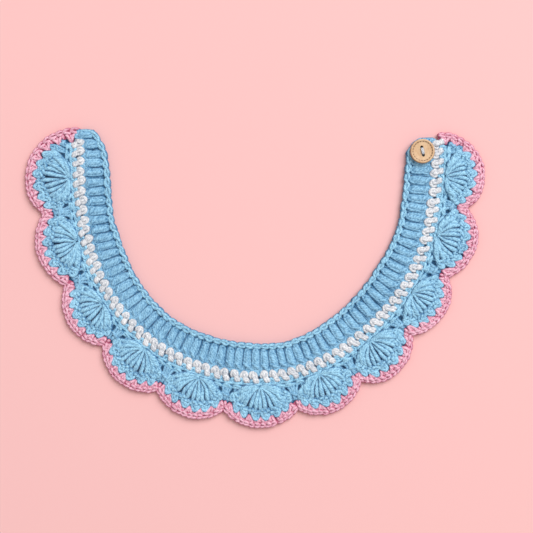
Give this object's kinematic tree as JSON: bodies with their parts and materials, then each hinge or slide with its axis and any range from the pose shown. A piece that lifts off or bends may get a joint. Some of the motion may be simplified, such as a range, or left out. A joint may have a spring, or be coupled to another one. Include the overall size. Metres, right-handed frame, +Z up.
{
  "type": "crochet pet collar",
  "caption": "Crochet pet collar laid flat and open, with a pale blue neck band and fan shells, a white row, a pink scalloped edging and a wooden button at one end",
  "frame": {"origin": "centre of the bounding box's bottom face, on the table under the middle of the neck gap", "axes": "+X runs from the buttonhole end to the button end, +Y from the middle of the collar back towards its two open ends, +Z up from the table"},
  "size_m": [0.2808, 0.1833, 0.0079],
  "materials": {
    "blue_cotton": "soft crocheted cotton yarn, pale sky blue, matt with a faint sheen",
    "white_cotton": "soft crocheted cotton yarn, white, matt; also the button's sewing thread",
    "pink_cotton": "soft crocheted cotton yarn, candy pink, matt with a faint sheen",
    "button_wood": "turned and sanded light wood with a thin clear coat"
  },
  "bodies": {
    "root": {"anchor_00": "blue_cotton", "anchor_01": "blue_cotton", "anchor_02": "blue_cotton", "anchor_03": "blue_cotton", "anchor_04": "blue_cotton", "anchor_05": "blue_cotton", "anchor_06": "blue_cotton", "anchor_07": "blue_cotton", "anchor_08": "blue_cotton", "anchor_09": "blue_cotton", "anchor_10": "blue_cotton", "anchor_11": "blue_cotton", "blue_row": "blue_cotton", "button": "button_wood", "button_thread": "white_cotton", "neck_band": "blue_cotton", "neck_chain": "blue_cotton", "pink_edging": "pink_cotton", "shell_01": "blue_cotton", "shell_02": "blue_cotton", "shell_03": "blue_cotton", "shell_04": "blue_cotton", "shell_05": "blue_cotton", "shell_06": "blue_cotton", "shell_07": "blue_cotton", "shell_08": "blue_cotton", "shell_09": "blue_cotton", "shell_10": "blue_cotton", "shell_11": "blue_cotton", "white_row": "white_cotton"}
  },
  "joints": []
}
